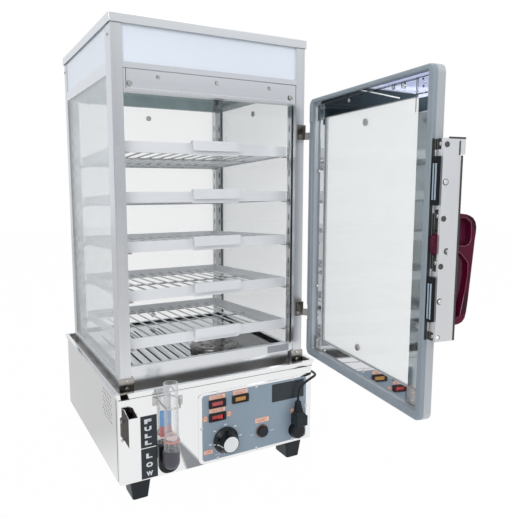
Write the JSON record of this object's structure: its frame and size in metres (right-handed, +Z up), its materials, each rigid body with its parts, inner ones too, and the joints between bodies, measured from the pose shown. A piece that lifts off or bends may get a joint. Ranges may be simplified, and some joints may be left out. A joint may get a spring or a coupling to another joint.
{
  "type": "food steamer display case",
  "caption": "Countertop steamer case with a water tank base, glazed cabinet, pull-out wire shelves, lit header and a side-hung glass door with a lever latch.",
  "frame": {"origin": "on the worktop under the middle of the base", "axes": "+Z up, +Y away from the person facing the case, +X to their right"},
  "size_m": [0.4005, 0.8051, 0.7888],
  "materials": {
    "polished_steel": "polished",
    "brushed_sheet": "satin",
    "bright_wire": "polished",
    "mirror_band": "mirror polished",
    "satin_alloy": "satin",
    "clear_glass": "clear",
    "clear_plastic": "clear",
    "frosted_panel": "frosted",
    "frosted_glass": "frosted",
    "grey_rubber": "matt",
    "black_rubber": "matt",
    "boot_rubber": "matt",
    "panel_blue": "satin print",
    "black_label": "satin print",
    "scale_card": "printed",
    "black_plastic": "matt",
    "white_plastic": "gloss",
    "red_lens": "gloss",
    "amber_lens": "gloss",
    "switch_red": "gloss",
    "red_ring": "gloss",
    "maroon_plastic": "gloss",
    "magnet_black": "matt",
    "dark_plate": "satin",
    "lamp_white": "opal"
  },
  "bodies": {
    "case": {"base_shell": "polished_steel", "deck_pan": "polished_steel", "water_tank": "brushed_sheet", "heating_element": "bright_wire", "bottom_plate": "brushed_sheet", "feet": "black_rubber", "supply_gland": "black_plastic", "control_plate": "polished_steel", "control_label": "panel_blue", "cabinet_screws": "bright_wire", "panel_bezels": "black_plastic", "lens_red": "red_lens", "lens_amber": "amber_lens", "thermostat": "black_plastic", "lamp_socket": "black_plastic", "lamp_plug": "black_rubber", "lamp_cord": "black_rubber", "cord_gland": "black_plastic", "fill_hopper": "polished_steel", "level_label": "black_label", "gauge_scale": "scale_card", "gauge_tube": "clear_plastic", "gauge_ring": "red_ring", "gauge_boot": "boot_rubber", "gauge_clamp": "bright_wire", "corner_posts": "brushed_sheet", "roof_cap": "brushed_sheet", "header_panels": "frosted_panel", "cabinet_rails": "polished_steel", "ceiling_plate": "frosted_glass", "header_lamp": "lamp_white", "glass_panes": "clear_glass", "glass_bumpers": "clear_plastic", "uprights": "polished_steel", "shelf_clips": "bright_wire", "steam_floor": "polished_steel", "steam_diffuser": "bright_wire", "corner_brackets": "bright_wire", "strike_strip": "brushed_sheet", "hinge_leaves": "bright_wire"},
    "switch_rocker": {"rocker": "switch_red"},
    "thermostat_knob": {"knob": "black_plastic", "knob_face": "white_plastic"},
    "reset": {"reset_button": "black_rubber"},
    "float": {"gauge_float": "red_ring"},
    "shelf_tray_1": {"shelf_1": "bright_wire"},
    "shelf_tray_2": {"shelf_2": "bright_wire"},
    "shelf_tray_3": {"shelf_3": "bright_wire"},
    "shelf_tray_4": {"shelf_4": "bright_wire"},
    "shelf_tray_5": {"shelf_5": "bright_wire"},
    "door": {"door_frame": "satin_alloy", "door_band": "mirror_band", "door_glass": "clear_glass", "door_gasket": "grey_rubber", "door_fittings": "bright_wire", "door_hinge_leaves": "bright_wire", "latch_bar": "polished_steel", "latch_plates": "dark_plate", "latch_magnets": "magnet_black"},
    "door_handle": {"latch_handle": "maroon_plastic"}
  },
  "joints": [
    {"name": "door_hinge", "type": "hinge", "parent": "case", "child": "door", "pos_m": [0.189, -0.206, 0.435], "axis": [0, 0, 1], "range_deg": [-82.5, 97.5]},
    {"name": "handle_pivot", "type": "hinge", "parent": "door", "child": "door_handle", "pos_m": [0.15098, -0.55301, 0.4436], "axis": [-0.1305, -0.9914, 0], "range_deg": [0, 15]},
    {"name": "rocker_pivot", "type": "hinge", "parent": "case", "child": "switch_rocker", "pos_m": [-0.0142, -0.21, 0.1202], "axis": [0, 0, 1], "range_deg": [0, 16]},
    {"name": "knob_turn", "type": "hinge", "parent": "case", "child": "thermostat_knob", "pos_m": [0.0018, -0.22, 0.074], "axis": [0, -1, 0], "range_deg": [-185, 52]},
    {"name": "reset_press", "type": "slide", "parent": "case", "child": "reset", "axis": [0, 1, 0], "range_m": [0, 0.002], "stiffness_N_per_m": 600},
    {"name": "float_rise", "type": "slide", "parent": "case", "child": "float", "axis": [0, 0, 1], "range_m": [0, 0.035]},
    {"name": "shelf_slide_1", "type": "slide", "parent": "case", "child": "shelf_tray_1", "axis": [0, -0.9988, 0.0488], "range_m": [0, 0.14]},
    {"name": "shelf_slide_2", "type": "slide", "parent": "case", "child": "shelf_tray_2", "axis": [0, -0.9988, 0.0488], "range_m": [0, 0.14]},
    {"name": "shelf_slide_3", "type": "slide", "parent": "case", "child": "shelf_tray_3", "axis": [0, -0.9988, 0.0488], "range_m": [0, 0.14]},
    {"name": "shelf_slide_4", "type": "slide", "parent": "case", "child": "shelf_tray_4", "axis": [0, -0.9988, 0.0488], "range_m": [0, 0.14]},
    {"name": "shelf_slide_5", "type": "slide", "parent": "case", "child": "shelf_tray_5", "axis": [0, -0.9988, 0.0488], "range_m": [0, 0.14]}
  ]
}
